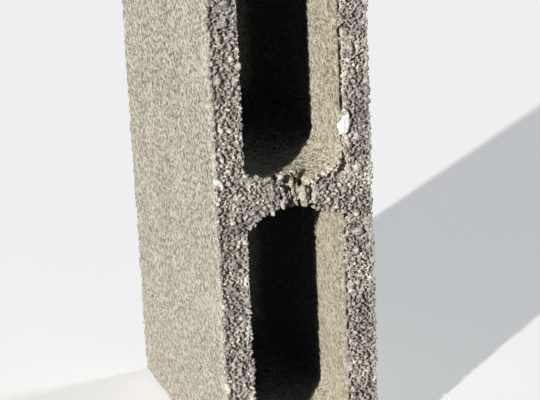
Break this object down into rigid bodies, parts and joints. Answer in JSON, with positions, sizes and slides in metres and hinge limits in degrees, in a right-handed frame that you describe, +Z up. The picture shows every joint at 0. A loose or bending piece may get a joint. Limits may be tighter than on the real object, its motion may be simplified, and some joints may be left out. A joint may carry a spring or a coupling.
{
  "type": "hollow concrete block",
  "caption": "Cast concrete wall block with through cells in its bed faces, thin face shells, cross webs and a shallow notch across the webs.",
  "frame": {"origin": "centre of the foot, at the bottom of the block's bounding box, as it stands on one end", "axes": "+Z up along the block's length, +X across its width from one face shell to the other, +Y through the cells from the open bed with the notch to the far bed"},
  "size_m": [0.125, 0.225, 0.45],
  "materials": {
    "concrete": "matt, open-textured cast concrete"
  },
  "bodies": {
    "root": {"hollow_block": "concrete"}
  },
  "joints": []
}
